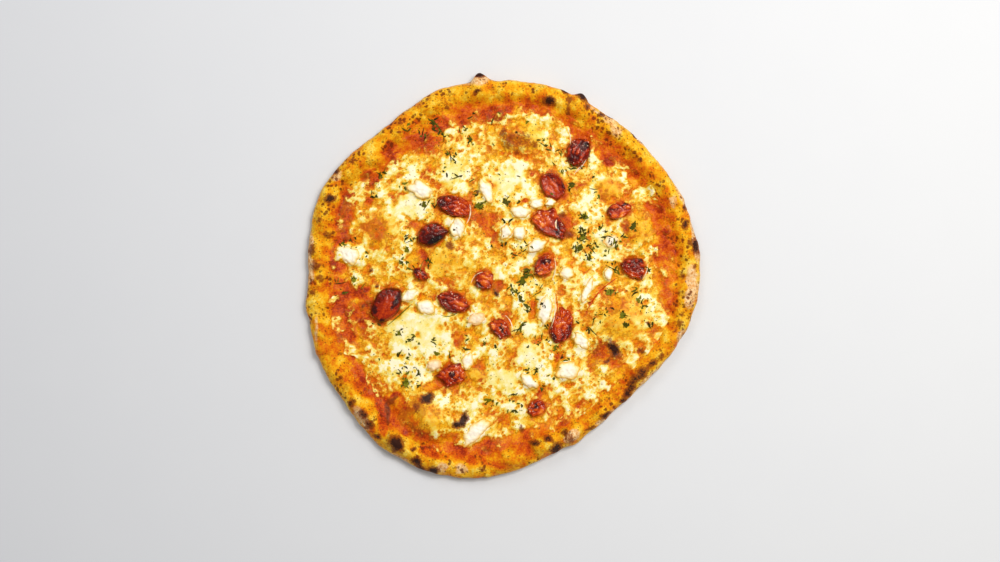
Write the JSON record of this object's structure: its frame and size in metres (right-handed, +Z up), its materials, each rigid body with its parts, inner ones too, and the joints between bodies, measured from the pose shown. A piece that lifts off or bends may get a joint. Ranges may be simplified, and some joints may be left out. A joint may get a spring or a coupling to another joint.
{
  "type": "pizza with roasted tomatoes and cheese",
  "caption": "Round thin pizza with a low blistered rim, tomato sauce, melted cheese, roasted cherry tomatoes, lumps of soft white cheese and chopped herbs.",
  "frame": {"origin": "on the surface that the pizza lies on, under the middle of the pizza's own box", "axes": "+Z up; +X to the right and +Y away from the viewer, as in a view from straight above"},
  "size_m": [0.3008, 0.308, 0.0177],
  "materials": {
    "dough": "baked dough, golden with char, slightly oily",
    "sauce": "oily cooked tomato sauce",
    "cheese": "melted cheese, oily, cream to golden, with dark green herb leaves",
    "tomato": "wrinkled roasted skin, wet and glossy, charred in places",
    "fresh_cheese": "soft moist white curd"
  },
  "bodies": {
    "root": {"dough_base": "dough", "tomato_sauce": "sauce", "melted_cheese": "cheese", "tomato_01": "tomato", "tomato_02": "tomato", "tomato_03": "tomato", "tomato_04": "tomato", "tomato_05": "tomato", "tomato_06": "tomato", "tomato_07": "tomato", "tomato_08": "tomato", "tomato_09": "tomato", "tomato_10": "tomato", "tomato_11": "tomato", "tomato_12": "tomato", "tomato_13": "tomato", "tomato_14": "tomato", "tomato_15": "tomato", "tomato_16": "tomato", "fresh_cheese_01": "fresh_cheese", "fresh_cheese_02": "fresh_cheese", "fresh_cheese_03": "fresh_cheese", "fresh_cheese_04": "fresh_cheese", "fresh_cheese_05": "fresh_cheese", "fresh_cheese_06": "fresh_cheese", "fresh_cheese_07": "fresh_cheese", "fresh_cheese_08": "fresh_cheese", "fresh_cheese_09": "fresh_cheese", "fresh_cheese_10": "fresh_cheese", "fresh_cheese_11": "fresh_cheese", "fresh_cheese_12": "fresh_cheese", "fresh_cheese_13": "fresh_cheese", "fresh_cheese_14": "fresh_cheese", "fresh_cheese_15": "fresh_cheese", "fresh_cheese_16": "fresh_cheese", "fresh_cheese_17": "fresh_cheese", "fresh_cheese_18": "fresh_cheese", "fresh_cheese_19": "fresh_cheese", "fresh_cheese_20": "fresh_cheese", "fresh_cheese_21": "fresh_cheese", "fresh_cheese_22": "fresh_cheese", "fresh_cheese_23": "fresh_cheese", "fresh_cheese_24": "fresh_cheese"}
  },
  "joints": []
}
